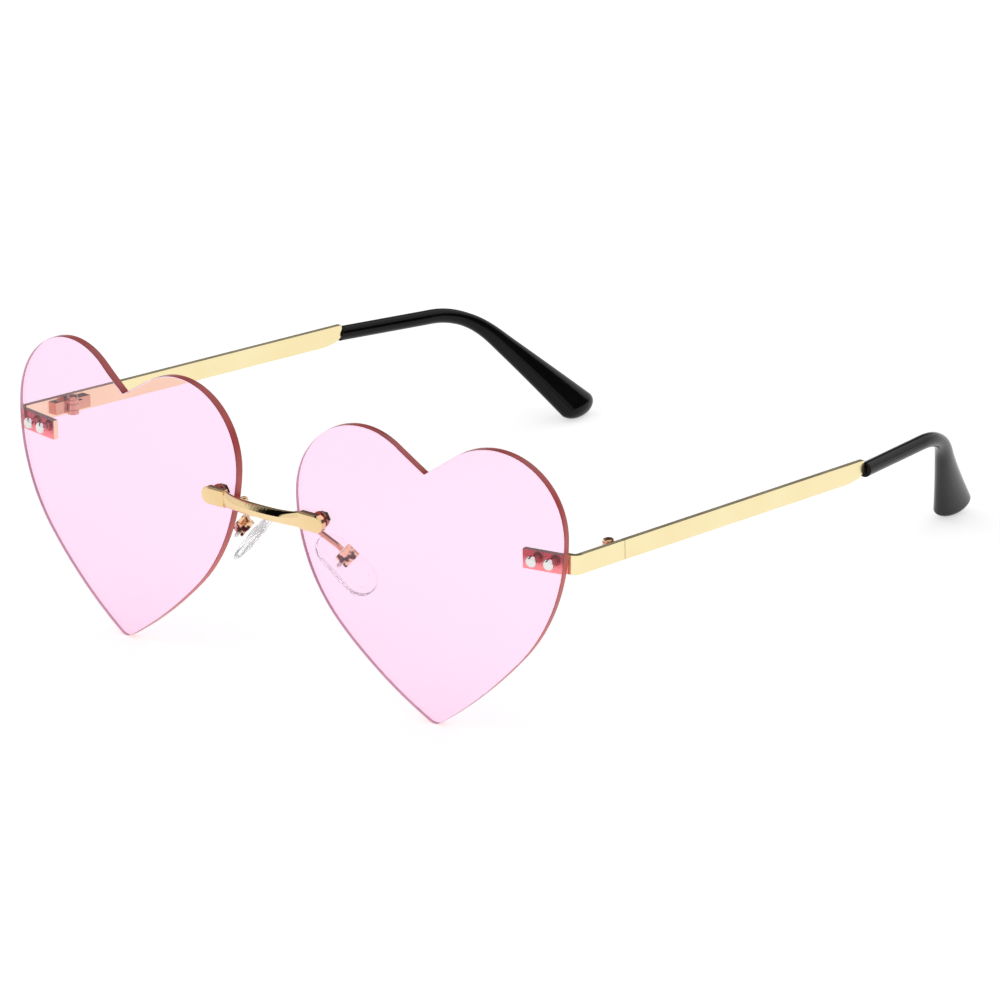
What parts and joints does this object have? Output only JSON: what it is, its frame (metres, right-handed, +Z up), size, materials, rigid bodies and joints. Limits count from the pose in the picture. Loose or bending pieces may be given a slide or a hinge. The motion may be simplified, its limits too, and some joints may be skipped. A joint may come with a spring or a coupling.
{
  "type": "heart shaped sunglasses",
  "caption": "Rimless sunglasses with pale pink heart lenses, thin gold metal bridge and folding temples, black temple tips and clear rocking nose pads.",
  "frame": {"origin": "middle of the box's underside, on the surface that the open glasses stand on", "axes": "+X to the wearer's left, +Y backward along the temples, +Z up; the lenses face -Y"},
  "size_m": [0.1384, 0.1585, 0.0567],
  "materials": {
    "gold": "polished gold plating",
    "pink_lens": "clear pink tint, polished",
    "silver": "bright plating",
    "black_tip": "glossy black",
    "clear_silicone": "clear soft silicone",
    "clear_insert": "clear hard plastic"
  },
  "bodies": {
    "front": {"bridge": "gold", "left_lens": "pink_lens", "left_endpiece": "gold", "left_lens_rivets": "silver", "left_front_hinge_leaf": "gold", "left_hinge_screw": "gold", "left_bridge_nut": "gold", "left_bridge_washer": "silver", "left_pad_arm": "gold", "left_pad_box": "gold", "left_pad_screw": "silver", "right_lens": "pink_lens", "right_endpiece": "gold", "right_lens_rivets": "silver", "right_front_hinge_leaf": "gold", "right_hinge_screw": "gold", "right_bridge_nut": "gold", "right_bridge_washer": "silver", "right_pad_arm": "gold", "right_pad_box": "gold", "right_pad_screw": "silver"},
    "left_temple": {"left_temple": "gold", "left_temple_hinge_leaf": "gold", "left_temple_tip": "black_tip"},
    "left_nose_pad": {"left_nose_pad": "clear_silicone", "left_nose_pad_insert": "clear_insert"},
    "right_temple": {"right_temple": "gold", "right_temple_hinge_leaf": "gold", "right_temple_tip": "black_tip"},
    "right_nose_pad": {"right_nose_pad": "clear_silicone", "right_nose_pad_insert": "clear_insert"}
  },
  "joints": [
    {"name": "left_temple_fold", "type": "hinge", "parent": "front", "child": "left_temple", "pos_m": [0.06636, -0.05524, 0.0357], "axis": [0, 0, 1], "range_deg": [0, 87]},
    {"name": "right_temple_fold", "type": "hinge", "parent": "front", "child": "right_temple", "pos_m": [-0.06636, -0.05524, 0.0357], "axis": [0, 0, -1], "range_deg": [0, 82]},
    {"name": "left_pad_rock", "type": "hinge", "parent": "front", "child": "left_nose_pad", "pos_m": [0.0131, -0.06727, 0.02595], "axis": [0.0038, 0.9331, 0.3597], "range_deg": [-10, 10]},
    {"name": "right_pad_rock", "type": "hinge", "parent": "front", "child": "right_nose_pad", "pos_m": [-0.0131, -0.06727, 0.02595], "axis": [0.0038, -0.9331, -0.3597], "range_deg": [-10, 10]}
  ]
}
